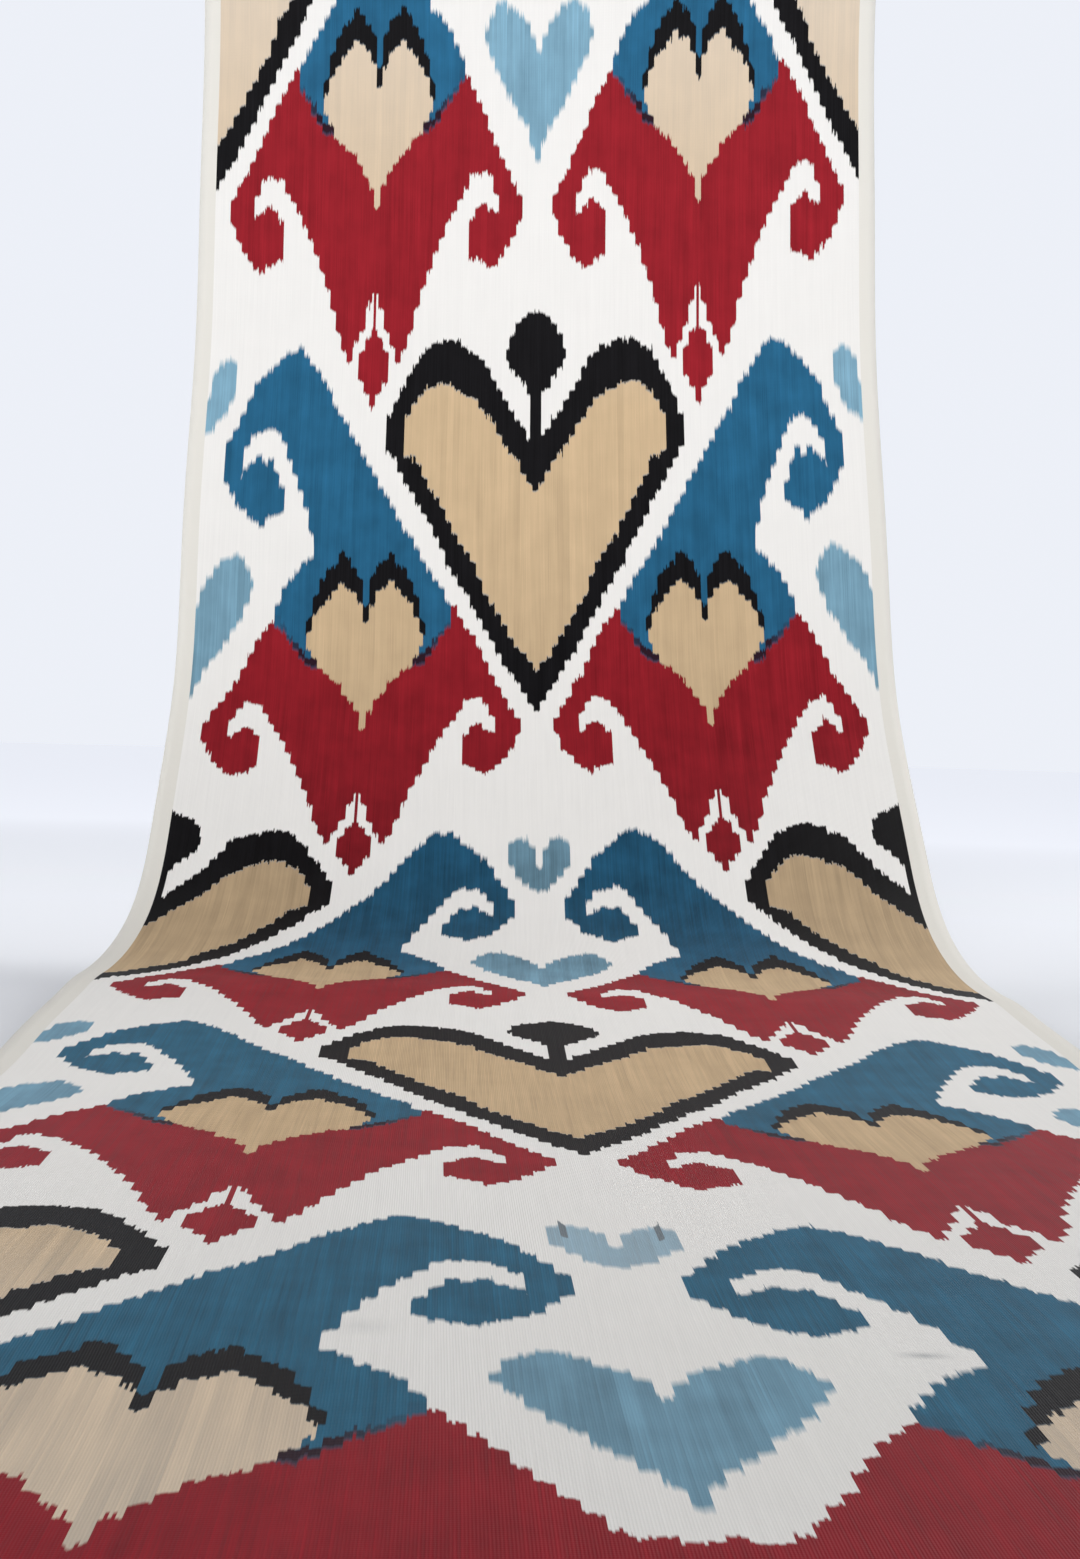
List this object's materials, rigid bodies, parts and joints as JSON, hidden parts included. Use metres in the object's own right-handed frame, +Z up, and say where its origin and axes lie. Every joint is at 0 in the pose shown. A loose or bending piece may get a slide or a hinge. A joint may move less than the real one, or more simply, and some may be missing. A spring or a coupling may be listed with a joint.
{
  "type": "ikat cloth hanging",
  "caption": "Loom-width length of warp-dyed ikat cloth, hung from its top edge, sweeping forward over a low swell and lying flat on the floor.",
  "frame": {"origin": "middle of the cloth's top edge, on its back", "axes": "+Z up, +X across the cloth, to the right of someone facing it, +Y towards the back, so the cloth runs out over the floor towards -Y"},
  "size_m": [0.4649, 1.2229, 0.6075],
  "materials": {
    "ikat_cloth": "silky warp-faced weave, dyed in crimson, blues, tan and black on white"
  },
  "bodies": {
    "root": {"cloth": "ikat_cloth"}
  },
  "joints": []
}
